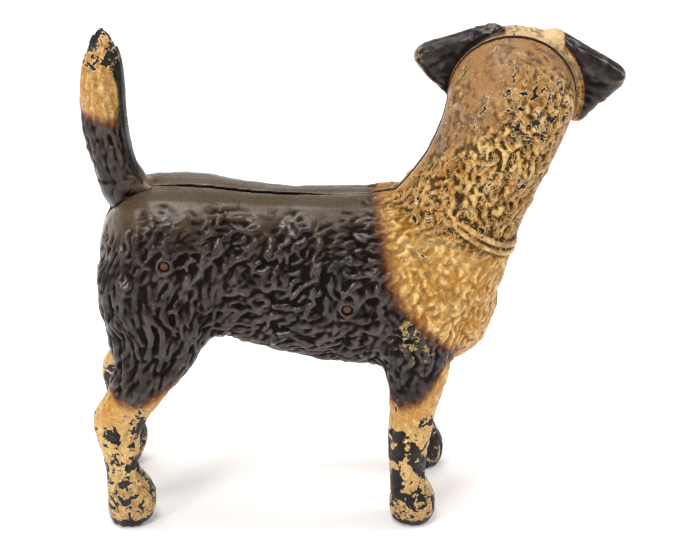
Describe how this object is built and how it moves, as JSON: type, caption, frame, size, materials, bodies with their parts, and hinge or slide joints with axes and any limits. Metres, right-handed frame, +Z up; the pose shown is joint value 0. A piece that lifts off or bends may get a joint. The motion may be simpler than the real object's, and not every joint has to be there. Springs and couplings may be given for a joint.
{
  "type": "cast iron still bank",
  "caption": "Hollow cast iron terrier bank in two halves held by machine screws, with a coin slot along the spine seam.",
  "frame": {"origin": "on the ground plane under the middle of the figure's box", "axes": "+X the way the body faces, +Y the dog's left, where its face points, +Z up"},
  "size_m": [0.2291, 0.1015, 0.218],
  "materials": {
    "painted_casting": "aged semi-gloss enamel, black saddle over cream and ochre, chipped to dark iron",
    "screw_steel": "dull, lightly rusted"
  },
  "bodies": {
    "right_half": {"right_half": "painted_casting"},
    "left_half": {"left_half": "painted_casting"},
    "screw_front": {"screw_front": "screw_steel"},
    "screw_rear": {"screw_rear": "screw_steel"}
  },
  "joints": [
    {"name": "halves_part", "type": "slide", "parent": "right_half", "child": "left_half", "axis": [0, 1, 0], "range_m": [0, 0.045]},
    {"name": "screw_front_turn", "type": "hinge", "parent": "left_half", "child": "screw_front", "pos_m": [-0.00235, -0.01478, 0.106], "axis": [0, 1, 0], "range_deg": [0, 15400]},
    {"name": "screw_rear_turn", "type": "hinge", "parent": "left_half", "child": "screw_rear", "pos_m": [-0.07835, -0.01478, 0.125], "axis": [0, 1, 0], "range_deg": [0, 15400]}
  ],
  "couplings": [
    {"joint": "screw_front_turn", "follows": "halves_part", "rad_per_m": 5936.9},
    {"joint": "screw_rear_turn", "follows": "halves_part", "rad_per_m": 5936.9}
  ]
}
